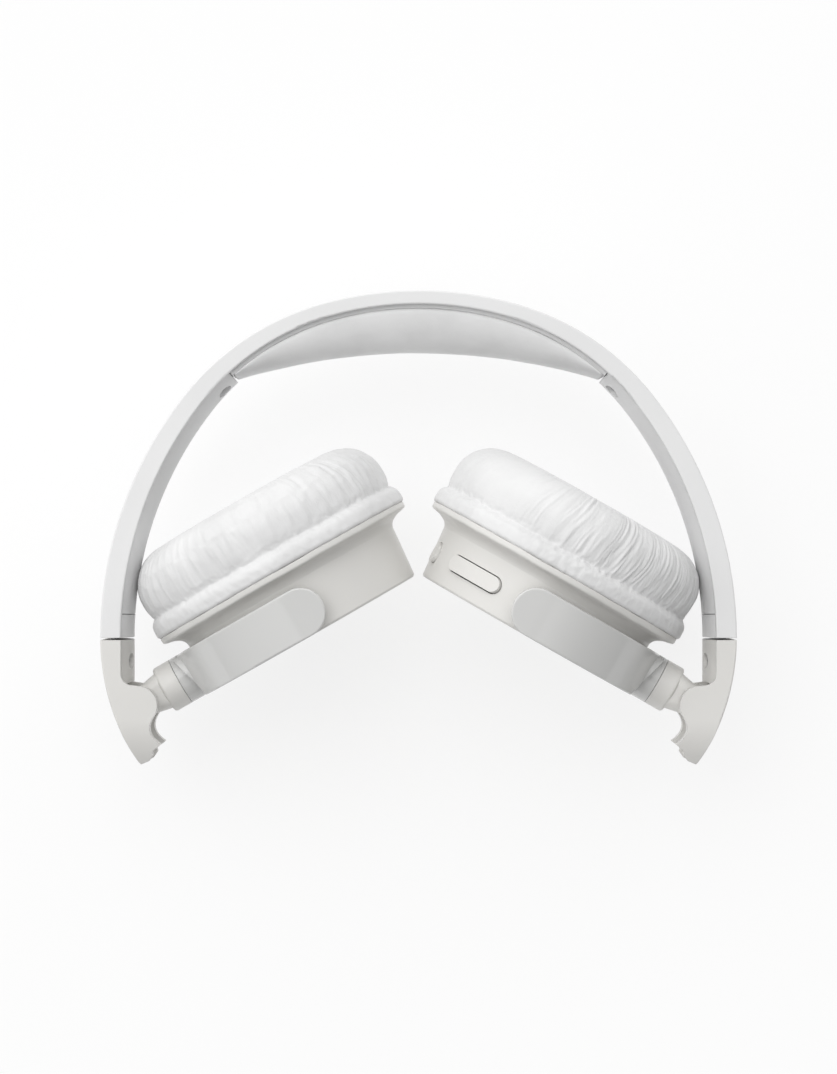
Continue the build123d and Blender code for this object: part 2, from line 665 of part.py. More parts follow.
def cup_screws():
    """Screws from the ear side through the baffle into the housing's bosses."""
    with BuildPart() as screws:
        with BuildSketch(CUP_PLANE.offset(LIP_BOTTOM)):
            with PolarLocations(CUP_SCREW_RING, CUP_SCREWS):
                Circle(SCREW_HEAD_R)
        extrude(amount=SCREW_HEAD_T)
        with BuildSketch(CUP_PLANE.offset(LIP_BOTTOM)):
            with PolarLocations(CUP_SCREW_RING, CUP_SCREWS):
                Circle(SCREW_R)
        extrude(amount=CUP_SCREW_L)
    return screws.part


def cushion_ring():
    """The flexible lip that the ear cushion is stretched over."""
    inner, top = BAFFLE_R + RUN, NECK_T - 0.1
    with BuildPart() as ring:
        with BuildSketch(CUP_PROFILE):
            with BuildLine():
                Line((inner, top), (NECK_R, top))
                ThreePointArc((NECK_R, top), (NECK_R + 2.2, LIP_T + 1.1), (LIP_R, LIP_T))
                Polyline((LIP_R, LIP_T), (LIP_R, LIP_BOTTOM), (inner, LIP_BOTTOM), (inner, top))
            make_face()
        revolve(axis=CUP_AXIS)
    return ring.part


def rounded(corner, before, after, radius):
    """An arc that rounds a square corner, between the directions before and after it."""
    corner, before, after = Vector(corner), Vector(before), Vector(after)
    middle = corner + (before + after) * radius * (1 - math.sqrt(0.5))
    return ThreePointArc(corner + before * radius, middle, corner + after * radius)


def ear_cushion():
    """The foam ring round the ear, with its skirt rolled over the lip."""
    top, roll, back = BODY_TOP, LIP_BOTTOM - ROLL_W, LIP_BOTTOM - RUN
    with BuildPart() as cushion:
        with BuildSketch(CUP_PROFILE):
            with BuildLine():
                Line((WELL_R, back), (LIP_R, back))
                ThreePointArc((LIP_R, back), (CUSHION_R, (back + roll) / 2), (BODY_R, roll))
                outer = rounded((BODY_R, top), (0, 1), (-1, 0), BODY_CORNER)
                inner = rounded((WELL_R, top), (1, 0), (0, 1), WELL_CORNER)
                Line((BODY_R, roll), outer @ 0)
                Line(outer @ 1, inner @ 0)
                Line(inner @ 1, (WELL_R, back))
            make_face()
        revolve(axis=CUP_AXIS)
    return cushion.part


def disc(low, high, radius, hole=0.0):
    """A flat disc or ring in the cup."""
    with BuildPart() as plate:
        with BuildSketch(CUP_PLANE.offset(low)):
            Circle(radius)
            if hole:
                Circle(hole, mode=Mode.SUBTRACT)
        extrude(amount=high - low)
    return plate.part


def driver_diaphragm():
    """The thin domed membrane of the driver."""
    return turned(
        (0, -8.2), (6, -8.9), (14, -10.3), (DRIVER_R - 1, -10.3),
        (DRIVER_R - 1, -10.1), (14, -10.1), (6, -8.7), (0, -8.0),
    )


def battery():
    """The flat cell in the left cup."""
    length, width, thickness = BATTERY
    with BuildPart() as cell:
        with BuildSketch(CUP_PLANE.offset(BATTERY_T)):
            RectangleRounded(length, width, BATTERY_R)
        extrude(amount=thickness)
        fillet(cell.edges().filter_by(Plane(CUP, z_dir=OUTWARD)), BATTERY_R / 2)
    return cell.part


def circuit_board():
    """The board in the right cup with its larger chips."""
    with BuildPart() as board:
        with BuildSketch(CUP_PLANE.offset(BOARD_T)):
            Circle(BOARD_R)
            with Locations((0, BOARD_R)):
                Rectangle(2 * BOARD_R, BOARD_CUT, mode=Mode.SUBTRACT)
        extrude(amount=BOARD_THICK)
        with BuildSketch(CUP_PLANE.offset(BOARD_T + BOARD_THICK)):
            with Locations(*CHIPS):
                Rectangle(CHIP_W, CHIP_W)
        extrude(amount=BOARD_THICK)
    return board.part


def charging_port():
    """The metal socket in the wall of the right cup."""
    with BuildPart() as port:
        with BuildSketch(wall_plane(PORT_AT, BUTTON_IN - SWITCH_T)):
            pill(PORT_L, PORT_W)
        extrude(amount=PORT_DEPTH)
        with BuildSketch(wall_plane(PORT_AT, BUTTON_IN - SWITCH_T + 1)):
            pill(PORT_L - PORT_SKIN, PORT_W - PORT_SKIN)
        extrude(amount=PORT_DEPTH, mode=Mode.SUBTRACT)
        with BuildSketch(wall_plane(PORT_AT, BUTTON_IN - SWITCH_T)):
            Rectangle(PORT_TONGUE_L, PORT_TONGUE_W)
        extrude(amount=PORT_DEPTH - 1)
    return port.part


def volume_rocker():
    """The long key that rocks between louder and quieter."""
    return button(ROCKER_AT, ROCKER_L, ROCKER_W)


def power_button():
    """The small round-ended key beside it."""
    return button(POWER_AT, POWER_L, POWER_W)


def volume_switches():
    """One switch under each end of the rocker."""
    return tact_switches(ROCKER_AT, (-ROCKER_L / 3, ROCKER_L / 3))


def power_switch():
    """The switch under the power button."""
    return tact_switches(POWER_AT, (0,))


def ear_mesh():
    """The cloth over the baffle at the bottom of the cushion's well."""
    back = LIP_BOTTOM - MESH_T / 2
    return disc(back - MESH_T, back, WELL_R - RUN)


def driver_frame():
    """The ring that holds the driver behind the baffle."""
    return disc(LIP_T, LIP_T + DRIVER_DEPTH, DRIVER_R + 1.5, DRIVER_R)


def driver_magnet():
    """The driver's magnet and pole pieces."""
    return disc(LIP_T + DRIVER_DEPTH - 1.5, LIP_T + DRIVER_DEPTH + 1.5, MAGNET_R)


def band_cover():
    """The inner trim between the pad and the end collar."""
    return screw_pockets(band_trim(PAD_TURN + 0.1, COLLAR_TURN, TRIM_BACK), UPPER_SCREWS)


def band_screws():
    """The four screws that hold the inner trims to the shell."""
    left = trim_screws(UPPER_SCREWS)
    return Compound(left.solids() + mirror(left, about=Plane.YZ).solids())


def arm_screws():
    """The two screws of the arm's trim."""
    return trim_screws(ARM_SCREWS)


def slider_rail():
    """The straight steel strip that the arm slides on."""
    return rail()


# Output

os.makedirs("parts", exist_ok=True)


def save(piece, name):
    """Labels a finished piece and writes it."""
    piece.label = name
    export_step(piece, f"parts/{name}.step")


CENTRE_PIECES = (headband_shell, spring_band, pad_base, headband_pad, band_screws)
SIDE_PIECES = (
    end_collar, band_cover, slider_rail, arm, arm_trim, arm_screws, fold_pin, knuckle, yoke,
    swivel_shaft, swivel_clip, pivot_pins, outer_cover, baffle, cup_screws, cushion_ring,
    ear_cushion, ear_mesh, driver_frame, driver_magnet, driver_diaphragm,
)
LEFT_PIECES = (battery,)
RIGHT_PIECES = (
    circuit_board, charging_port, volume_rocker, power_button, volume_switches, power_switch,
)

for make in CENTRE_PIECES + LEFT_PIECES:
    save(make(), make.__name__)
for make in RIGHT_PIECES:
    save(mirror(make(), about=Plane.YZ), make.__name__)
for make in SIDE_PIECES:
    piece = make()
    save(mirror(piece, about=Plane.YZ), f"{make.__name__}_right")
    save(piece, f"{make.__name__}_left")
save(housing(with_controls=False), "housing_left")
save(mirror(housing(with_controls=True), about=Plane.YZ), "housing_right")
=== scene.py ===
"""The looks of a pair of folding on-ear headphones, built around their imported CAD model.

Lengths are in metres, or in millimetres where a comment says so. A cup piece is made in the
cup's own space: x from the hinge to the far end, y up, z outwards, away from the ear. Its object
carries it into place.
"""

import json
import math

import bpy
import numpy as np
from mathutils import Matrix, Vector, noise


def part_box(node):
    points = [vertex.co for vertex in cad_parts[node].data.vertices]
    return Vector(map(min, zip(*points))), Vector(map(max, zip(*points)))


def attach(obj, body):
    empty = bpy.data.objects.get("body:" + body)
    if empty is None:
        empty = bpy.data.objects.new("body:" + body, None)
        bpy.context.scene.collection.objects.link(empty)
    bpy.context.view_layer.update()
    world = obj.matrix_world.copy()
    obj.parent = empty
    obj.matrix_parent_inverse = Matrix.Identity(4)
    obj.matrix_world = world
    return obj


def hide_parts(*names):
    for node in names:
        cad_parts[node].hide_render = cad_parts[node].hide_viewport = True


MM = 0.001
SIDES = ("left", "right")

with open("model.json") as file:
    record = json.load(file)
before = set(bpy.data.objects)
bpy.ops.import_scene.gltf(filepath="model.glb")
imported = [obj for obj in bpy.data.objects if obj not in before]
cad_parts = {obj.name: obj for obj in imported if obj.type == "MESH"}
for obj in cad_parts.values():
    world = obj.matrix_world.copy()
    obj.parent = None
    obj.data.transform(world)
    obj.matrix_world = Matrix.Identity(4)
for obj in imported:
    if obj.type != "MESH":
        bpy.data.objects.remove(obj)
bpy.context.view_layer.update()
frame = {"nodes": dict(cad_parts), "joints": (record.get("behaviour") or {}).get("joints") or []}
scene = bpy.context.scene
joints = {joint["name"]: joint for joint in frame["joints"]}


# ---------------------------------------------------------------- materials

WHITE = (0.80, 0.80, 0.80)
WARM = (0.745, 0.735, 0.71)
GLOSSY_GREY = (0.655, 0.655, 0.645)
LEATHER = (0.765, 0.765, 0.765)
CRINKLES = {"left": (0.3, 0.12), "right": (0.1, 1.0)}  # bump at a cushion's far and hinge ends
CRINKLES_FAR_X, CRINKLES_HINGE_X = 25 * MM, -30 * MM
CRINKLES_STRETCH = (1, 1, 0.09)
MOULDED_EDGE = 0.25 * MM  # the radius of plastic edges
THREAD = 0.55 * MM
WAVE_PERIOD = 0.314  # the length of one wave of Blender's wave texture at a scale of 1


def set_range(node, start, stop, low, high):
    """Makes a map range node take start..stop to low..high."""
    values = {"From Min": start, "From Max": stop, "To Min": low, "To Max": high}
    for socket, value in values.items():
        node.inputs[socket].default_value = value


class Finish:
    """A material under construction: its principled shader, and the nodes that feed it."""

    def __init__(self, name, roughness, **sockets):
        self.material = bpy.data.materials.new(name)
        self.material.use_nodes = True
        self.nodes = self.material.node_tree.nodes
        self.shader = self.nodes["Principled BSDF"]
        self.shader.inputs["Roughness"].default_value = roughness
        for socket, value in sockets.items():
            self.shader.inputs[socket.replace("_", " ")].default_value = value
        self.place = self.add("ShaderNodeTexCoord").outputs["Object"]
        self.normal = None

    def add(self, kind, **settings):
        """A new node. A setting in capitals is one of its attributes, any other a socket."""
        node = self.nodes.new(kind)
        for key, value in settings.items():
            if key.isupper():
                setattr(node, key.lower(), value)
            elif isinstance(value, bpy.types.NodeSocket):
                self.link(value, node.inputs[key])
            else:
                node.inputs[key].default_value = value
        return node

    def link(self, source, target):
        self.material.node_tree.links.new(source, target)

    def noise(self, scale, detail=3.0, stretch=None):
        """Soft noise with features about 1 / scale metres across."""
        place = self.place
        if stretch:
            place = self.add("ShaderNodeMapping", Vector=place, Scale=stretch).outputs[0]
        texture = self.add("ShaderNodeTexNoise", Vector=place, Scale=scale, Detail=detail)
        return texture.outputs["Fac"]

    def cells(self, scale):
        """The distance to the nearest of scattered points, for pores and leather grain."""
        texture = self.add("ShaderNodeTexVoronoi", Vector=self.place, Scale=scale)
        return texture.outputs["Distance"]

    def spread(self, value, low, high, start=0.0, stop=1.0):
        """Maps value from start..stop to low..high."""
        node = self.add("ShaderNodeMapRange", Value=value)
        set_range(node, start, stop, low, high)
        return node.outputs["Result"]

    def colours(self, factor, *tones, low=0.3, high=0.7):
        """Runs the base colour through tones as factor goes from low to high."""
        ramp = self.add("ShaderNodeValToRGB", Fac=factor)
        stops = ramp.color_ramp.elements
        while len(stops) < len(tones):
            stops.new(0.5)
        for i, tone in enumerate(tones):
            stops[i].position = low + (high - low) * i / (len(tones) - 1)
            stops[i].color = (*tone, 1)
        self.link(ramp.outputs["Color"], self.shader.inputs["Base Color"])

    def vary_roughness(self, factor, low, high):
        self.link(self.spread(factor, low, high), self.shader.inputs["Roughness"])

    def bevel(self, radius):
        """Rounds sharp edges in the shading, as a moulded edge is."""
        self.normal = self.add("ShaderNodeBevel", SAMPLES=6, Radius=radius).outputs["Normal"]

    def bump(self, height, depth, strength=1.0):
        """Raises the surface where height is 1. Later calls add to earlier ones."""
        bump = self.add("ShaderNodeBump", Height=height, Distance=depth, Strength=strength)
        if self.normal:
            self.link(self.normal, bump.inputs["Normal"])
        self.normal = bump.outputs["Normal"]

    def done(self):
        if self.normal:
            self.link(self.normal, self.shader.inputs["Normal"])
        return self.material


def shade(tone, factor):
    return tuple(channel * factor for channel in tone)


def plastic(name, tone, roughness, grain):
    """Moulded plastic: a fine tool texture, slow drifts of tone, softened edges."""
    finish = Finish(name, roughness, Specular_IOR_Level=0.5)
    drift = finish.noise(35, detail=2)
    finish.colours(drift, shade(tone, 0.975), tone, shade(tone, 1.012))
    finish.vary_roughness(finish.noise(420), roughness - 0.05, roughness + 0.06)
    finish.bevel(MOULDED_EDGE)
    finish.bump(finish.noise(5200, detail=1), grain)
    finish.bump(finish.noise(90, detail=1), 0.02 * MM, 0.3)
    return finish.done()


def leatherette(name, tone, crinkles=None):
    """Soft coated cloth: pebble grain, pores, slow patches of tone, and a faint sheen.

    Crinkles run along z. Their strength goes from the first value at the far end of a cushion
    to the second at its hinge end.
    """
    finish = Finish(name, 0.5, Sheen_Weight=0.12, Sheen_Roughness=0.4, Specular_IOR_Level=0.35)
    patches = finish.noise(70, detail=4)
    finish.colours(patches, shade(tone, 0.94), tone, shade(tone, 1.03))
    finish.vary_roughness(finish.noise(300), 0.42, 0.6)
    finish.bump(finish.noise(260, detail=4), 0.16 * MM, 0.35)
    finish.bump(finish.cells(2600), 0.05 * MM, 0.45)
    finish.bump(finish.noise(6500, detail=1), 0.015 * MM, 0.5)
    if crinkles:
        x = finish.add("ShaderNodeSeparateXYZ", Vector=finish.place).outputs["X"]
        strength = finish.spread(x, *crinkles, CRINKLES_FAR_X, CRINKLES_HINGE_X)
        crinkled = finish.noise(1150, detail=2, stretch=CRINKLES_STRETCH)
        finish.bump(crinkled, 0.22 * MM, strength)
    return finish.done()


def knitted(name, tone):
    """Fine acoustic cloth: crossing threads, darker in the holes between them."""
    finish = Finish(name, 0.85, Sheen_Weight=0.25, Sheen_Roughness=0.5, Specular_IOR_Level=0.2)
    weave = finish.add("ShaderNodeMath", OPERATION="MULTIPLY")
    threads = {"Vector": finish.place, "Scale": WAVE_PERIOD / THREAD}
    for socket, axis in zip(weave.inputs, "XY"):
        wave = finish.add("ShaderNodeTexWave", BANDS_DIRECTION=axis, **threads)
        finish.link(wave.outputs["Fac"], socket)
    finish.colours(weave.outputs[0], shade(tone, 0.35), tone, shade(tone, 1.08), low=0, high=0.8)
    finish.bump(weave.outputs[0], 0.25 * MM, 0.9)
    finish.bump(finish.noise(4000, detail=2), 0.03 * MM, 0.5)
    return finish.done()


def metal(name, tone, roughness, stretch):
    """Brushed metal: fine scratches along one direction and slight stains."""
    finish = Finish(name, roughness, Metallic=1.0)
    finish.colours(finish.noise(250), shade(tone, 0.9), tone)
    scratches = finish.noise(1500, detail=2, stretch=stretch)
    finish.vary_roughness(scratches, roughness - 0.08, roughness + 0.12)
    finish.bump(scratches, 0.01 * MM, 0.5)
    return finish.done()


def speckled(name, tone, other, roughness, scale):
    """Film, foil wrap or solder resist: two close tones in small patches."""
    finish = Finish(name, roughness)
    finish.colours(finish.noise(scale, detail=5), tone, other)
    finish.vary_roughness(finish.noise(scale * 3), roughness - 0.06, roughness + 0.08)
    finish.bump(finish.noise(scale * 4, detail=2), 0.03 * MM, 0.5)
    return finish.done()


finishes = {
    "headband_white": plastic("headband_white", WHITE, 0.42, 0.012 * MM),
    "arm_white": plastic("arm_white", WARM, 0.4, 0.012 * MM),
    "yoke_grey_white": plastic("yoke_grey_white", GLOSSY_GREY, 0.09, 0.001 * MM),
    "housing_white": plastic("housing_white", WARM, 0.33, 0.006 * MM),
    "leatherette": leatherette("leatherette", LEATHER),
    "flexible_lip": plastic("flexible_lip", WARM, 0.38, 0.01 * MM),
    "inner_black": plastic("inner_black", (0.035, 0.035, 0.038), 0.5, 0.02 * MM),
    "mesh_cloth": knitted("mesh_cloth", (0.42, 0.42, 0.41)),
    "steel": metal("steel", (0.6, 0.6, 0.61), 0.32, (1, 1, 12)),
    "membrane": speckled("membrane", (0.55, 0.5, 0.38), (0.62, 0.58, 0.46), 0.3, 300),
    "battery_wrap": speckled("battery_wrap", (0.5, 0.53, 0.58), (0.58, 0.6, 0.64), 0.3, 180),
    "board_green": speckled("board_green", (0.01, 0.1, 0.04), (0.02, 0.16, 0.07), 0.35, 240),
    "switch_black": plastic("switch_black", (0.03, 0.03, 0.03), 0.45, 0.01 * MM),
}
for node in frame["nodes"].values():
    for holder in node.material_slots:
        holder.material = finishes[holder.material.name.split(".")[0]]


# ---------------------------------------------------------------- mesh tools

SEED_SHIFT = (17.3, 5.1, 0)  # from one seed's place in the noise to the next


def grid(points, closed_across=False):
    """Faces over rows of points that go round, as (rows, columns, 3)."""
    rows, columns = points.shape[:2]
    index = np.arange(rows * columns).reshape(rows, columns)
    index = np.concatenate([index, index[:, :1]], axis=1)
    if closed_across:
        index = np.concatenate([index, index[:1]], axis=0)
    corners = (index[:-1, :-1], index[:-1, 1:], index[1:, 1:], index[1:, :-1])
    return np.stack(corners, axis=-1).reshape(-1, 4).tolist()


def capped(points):
    """The same faces with the first and last rows closed."""
    rows, columns = points.shape[:2]
    first, last = list(range(columns)), list(range((rows - 1) * columns, rows * columns))
    return grid(points) + [first[::-1], last]


def make(name, points, faces, finish, body, replaced, placement=Matrix.Identity(4)):
    """A smooth mesh piece that rides on a body and stands for a CAD node."""
    mesh = bpy.data.meshes.new(name)
    mesh.from_pydata(points.reshape(-1, 3).tolist(), [], faces)
    mesh.shade_smooth()
    mesh.materials.append(finishes[finish])
    piece = bpy.data.objects.new(name, mesh)
    scene.collection.objects.link(piece)
    piece.matrix_world = placement
    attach(piece, body)
    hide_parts(replaced)
    return piece


def subdivide(piece):
    smooth = piece.modifiers.new("smooth", "SUBSURF")
    smooth.levels = smooth.render_levels = 1


def resample(profile, count):
    """count points at even distances along a line of points."""
    profile = np.array(profile, float)
    lengths = np.linalg.norm(np.diff(profile, axis=0), axis=1)
    reached = np.concatenate([[0], np.cumsum(lengths)])
    wanted = np.linspace(0, reached[-1], count)
    return np.stack([np.interp(wanted, reached, profile[:, k]) for k in range(2)], axis=1)


def arc(centre, radius, start, stop, count):
    """Points on an arc of a profile, between two angles in degrees."""
    angles = np.radians(np.linspace(start, stop, count))
    return [(centre[0] + radius * math.cos(a), centre[1] + radius * math.sin(a)) for a in angles]


def lathe(profile, columns):
    """Rows of points turned round the z axis from (radius, height) in millimetres."""
    angles = np.linspace(0, 2 * math.pi, columns, endpoint=False)
    radii, heights = np.array(profile, float).T * MM
    x = radii[:, None] * np.cos(angles)[None]
    y = radii[:, None] * np.sin(angles)[None]
    return np.stack([x, y, np.repeat(heights[:, None], columns, axis=1)], axis=-1)


def round_axis(points):
    """Each point's angle round the z axis, distance from it, and height."""
    x, y, height = np.moveaxis(points, -1, 0)
    return np.arctan2(y, x), np.hypot(x, y), height


def smooth_noise(points, scale, seed):
    """Perlin noise at each point, from -1 to 1, with features about as large as scale."""
    flat = points.reshape(-1, 3) / scale + seed * np.array(SEED_SHIFT)
    values = np.array([noise.noise(Vector(p)) for p in flat])
    return values.reshape(points.shape[:-1])


# ---------------------------------------------------------------- cups

# Radii and heights in a cup's own space, in millimetres
EAR_SIDE, ROLL_EDGE, PINCH = -33.9, -12.5, -17.8  # face, skirt's edge, seam above the skirt
CUSHION_R, WELL_R = 37.0, 16.0
CORNER_R, WELL_CORNER = 11.0, 6.0
SKIRT = [
    (34.5, ROLL_EDGE), (37.45, ROLL_EDGE), (37.8, -12.65), (38.1, -13.2),
    (38.05, -15.3), (37.75, -16.4), (37.0, -17.2), (36.2, PINCH),
]
LIP = [
    (31.74, -7.3), (31.94, -8.0), (32.3, -8.7), (33.0, -9.4), (34.6, -10.2), (36.6, -10.6),
    (37.3, -10.8), (37.55, -11.1), (37.6, -12.1), (37.55, -12.55),
    (31.1, -12.55), (31.1, -8.05), (31.5, -7.5),
]
LIP_FLEX_FROM, LIP_FLEX_OVER, LIP_WAVE = 34, 3, 0.12  # only the lip's rim is wavy
LIP_WAVE_SIZE = 0.16  # as a share of the lip's radius
CLOTH_R, CLOTH_HUB = 15.9, 0.4  # its rows of points run from the rim to the hub
CLOTH_FRONT, CLOTH_BACK, CLOTH_DOME = -13.35, -13.05, 0.9
CLOTH_WAVE, CLOTH_WAVE_SIZE = 0.12, 9
AROUND, LIP_AROUND, CLOTH_AROUND = 400, 220, 120  # columns
SKIRT_ROWS, SIDE_ROWS, FACE_ROWS, LIP_ROWS, CLOTH_ROWS = 15, 44, 26, 64, 26
LIP_SEED, CLOTH_SEED = 4, 7

# The cloth simulation
SIM_SCALE = 20.0  # the cloth solver works on a cushion this many times larger
SIM_FRAMES, PRESSURE = 20, 0.9
HELD_BELOW, FREE_FROM, FREE_OVER = 20, 28, 2  # two radii, and a height past the seam
EVEN_WINDOW = 15  # columns each way over which the even bulge is measured
SLACK = {"left": (0.03, 0.015), "right": (0.05, 0.1)}  # all round, and added at the looser end
SLACK_GATHER = 1.5  # how fast the right cushion's slack gathers towards its hinge end
LARGEST_FOLD = {"left": 0.18, "right": 0.48}  # mm

# The sculpted creases: heights, sizes and radii in millimetres
PUCKER_UP, PUCKER_OUT, PUCKER_SIZE, PUCKER_REACH = 0.45, 0.2, 1.7, 1.8
PUCKER_STRETCH = 6  # how much longer puckers are along z than round the cushion
RIDGE, FINE_RIDGE, SHARPNESS = 0.42, 0.2, 2.4
SEAM_PUCKER, SEAM_FINE, SEAM_REACH, SEAM_FROM_R = 0.28, 0.1, 1.5, 30
ROLL_WAVE, ROLL_FINE, ROLL_FROM_R = 0.12, 0.08, 36.5
CREASED_FROM_R, CREASED_OVER = 24, 6
CREASES = {"left": (0.12, 0.1), "right": (0.12, 0.88)}  # all round, and added at the looser end
HINGE_LEVEL, HINGE_SWING = 0.6, 0.95  # where the hinge half starts, and how fast
PATCH_LEVEL, PATCH_SWING, PATCH_RANGE = 0.7, 1.2, (0.15, 1.3)
WANDER, LEAN = 0.02, 0.006  # of the ridges: radians, and radians per millimetre
SEED_RISE = 11.7  # from one seed's place in the noise to the next


def cup_placement(side):
    """From a cup's own space into the frame."""
    along = Vector(joints[f"swivel_{side}"]["axis"])
    along.x = math.copysign(along.x, 1 if side == "left" else -1)
    along.y = abs(along.y)
    up = Vector((0, 0, 1))
    outward = Vector((-along.y if side == "right" else along.y, -abs(along.x), 0))
    centre = Vector(joints[f"tilt_{side}"]["pos_m"])
    return Matrix.Translation(centre) @ Matrix((along, up, outward)).transposed().to_4x4()


def cushion_rows():
    """The cushion's profile: rolled skirt, pinched seam, round body, well."""
    corner = (CUSHION_R - CORNER_R, EAR_SIDE + CORNER_R)
    well = (WELL_R + WELL_CORNER, EAR_SIDE + WELL_CORNER)
    side = [(36.2, PINCH), (36.5, PINCH - 0.8), (36.85, PINCH - 1.8), (CUSHION_R, PINCH - 3.4)]
    side += arc(corner, CORNER_R, 0, -90, count=16)
    face = [side[-1], *arc(well, WELL_CORNER, 270, 180, count=10), (WELL_R, ROLL_EDGE)]
    skirt = resample(SKIRT, SKIRT_ROWS)
    return np.concatenate([skirt, resample(side, SIDE_ROWS)[1:], resample(face, FACE_ROWS)[1:]])


def slack_at(angle, side):
    """How much spare skin the cushion has around its rim, as a share of its length."""
    hinge_half = 0.5 - 0.5 * np.cos(angle)
    least, added = SLACK[side]
    return least + added * (hinge_half**SLACK_GATHER if side == "right" else 1 - hinge_half)


def settle(piece, slack, held):
    """Lets the skin of a piece buckle: a cloth simulation that starts with spare skin."""
    piece.shape_key_add(name="now")
    key = piece.shape_key_add(name="slack")
    key.data.foreach_set("co", slack.ravel())
    group = piece.vertex_groups.new(name="held")
    for i, weight in enumerate(held):
        if weight > 0:
            group.add([i], float(weight), "REPLACE")
    cloth = piece.modifiers.new("cloth", "CLOTH")
    settings = cloth.settings
    settings.quality = 6
    settings.mass = 0.2
    settings.tension_stiffness = settings.compression_stiffness = 40
    settings.shear_stiffness = 8
    settings.bending_stiffness = 0.08
    settings.air_damping = 2
    settings.vertex_group_mass = "held"
    settings.rest_shape_key = key
    settings.use_pressure = True
    settings.uniform_pressure_force = PRESSURE
    settings.effector_weights.gravity = 0
    cloth.collision_settings.use_collision = False
    cloth.point_cache.frame_end = SIM_FRAMES
    for step in range(1, SIM_FRAMES + 1):
        scene.frame_set(step)
    seen = piece.evaluated_get(bpy.context.evaluated_depsgraph_get())
    settled = np.zeros(len(piece.data.vertices) * 3, np.float32)
    seen.data.vertices.foreach_get("co", settled)
    piece.modifiers.remove(cloth)
    piece.shape_key_clear()
    piece.vertex_groups.remove(group)
    scene.frame_set(1)
    return settled.reshape(-1, 3).astype(float)


def place(piece, points):
    """Moves the vertices of a piece."""
    piece.data.vertices.foreach_set("co", np.asarray(points, np.float32).ravel())
    piece.data.update()


def refine(piece):
    """Subdivides the mesh for good, so that finer detail can be sculpted on it."""
    subdivide(piece)
    seen = piece.evaluated_get(bpy.context.evaluated_depsgraph_get())
    fine = bpy.data.meshes.new_from_object(seen)
    piece.modifiers.clear()
    piece.data = fine


def buckle(piece, rows, side):
    """The folds that the spare skin makes. The even bulge that comes with them is left out."""
    angles, radius, height = round_axis(rows)
    inwards = np.clip((radius / MM - HELD_BELOW) / (FREE_FROM - HELD_BELOW), 0, 1)
    free = np.clip((PINCH - height / MM) / FREE_OVER, 0, 1) * inwards
    slack = rows.copy()
    slack[..., :2] *= (1 + slack_at(angles, side) * inwards)[..., None]
    place(piece, rows * SIM_SCALE)
    settled = settle(piece, slack * SIM_SCALE, (1 - free).ravel())
    shift = settled.reshape(rows.shape) / SIM_SCALE - rows
    wrapped = np.concatenate([shift[:, -EVEN_WINDOW:], shift, shift[:, :EVEN_WINDOW]], axis=1)
    sums = np.cumsum(np.concatenate([0 * wrapped[:, :1], wrapped], axis=1), axis=1)
    whole = 2 * EVEN_WINDOW + 1
    shift -= (sums[:, whole:] - sums[:, :-whole]) / whole
    length = np.linalg.norm(shift, axis=-1, keepdims=True)
    limit = LARGEST_FOLD[side] * MM
    return rows + shift * np.tanh(length / limit) * limit / np.maximum(length, 1e-9)


def crease(piece, side, seed):
    """Sculpts fine ridges along the cushion's side and the puckers of its seam, in mm."""
    count = len(piece.data.vertices)
    points, normals = np.zeros(count * 3), np.zeros(count * 3)
    piece.data.vertices.foreach_get("co", points)
    piece.data.vertex_normals.foreach_get("vector", normals)
    points, normals = points.reshape(-1, 3), normals.reshape(-1, 3)
    angles, radius, height = round_axis(points / MM)

    def ripples(across, along, offset=0.0):
        """Noise that repeats round the cushion, with features of these sizes."""
        turned = np.stack([np.cos(angles), np.sin(angles)], -1) * CUSHION_R / across
        rise = (height + offset)[:, None] / along + seed * SEED_RISE
        return smooth_noise(np.concatenate([turned, rise], -1), 1.0, 0)

    angles = angles + WANDER * ripples(across=9, along=8) + LEAN * (height - PINCH)
    ridges = 1 - SHARPNESS * np.abs(ripples(across=1.25, along=16))
    fine = 1 - SHARPNESS * np.abs(ripples(across=0.8, along=10, offset=40.0))
    patch = PATCH_LEVEL + PATCH_SWING * ripples(across=6, along=12, offset=80.0)
    above_seam = np.clip((PINCH - height) / SEAM_REACH, 0, 1)
    body = above_seam * np.clip((radius - CREASED_FROM_R) / CREASED_OVER, 0, 1)
    hinge_half = np.clip(HINGE_LEVEL - HINGE_SWING * np.cos(angles), 0, 1)
    least, added = CREASES[side]
    strength = least + added * (hinge_half if side == "right" else 1 - hinge_half)
    raised = body * strength * np.clip(patch, *PATCH_RANGE) * (RIDGE * ridges + FINE_RIDGE * fine)
    seam = np.exp(-(((height - PINCH) / SEAM_REACH) ** 2)) * (radius > SEAM_FROM_R)
    puckers = SEAM_PUCKER * ripples(across=1.6, along=1.5, offset=20.0)
    raised += seam * (puckers + SEAM_FINE * ripples(across=0.8, along=0.9, offset=60.0))
    roll = np.clip((height - PINCH) / SEAM_REACH, 0, 1) * np.clip(radius - ROLL_FROM_R, 0, 1)
    waves = ROLL_WAVE * ripples(across=2.2, along=2.0, offset=30.0)
    raised += roll * (waves + ROLL_FINE * ripples(across=1.0, along=1.6, offset=90.0))
    place(piece, points + normals * (raised * MM)[:, None])


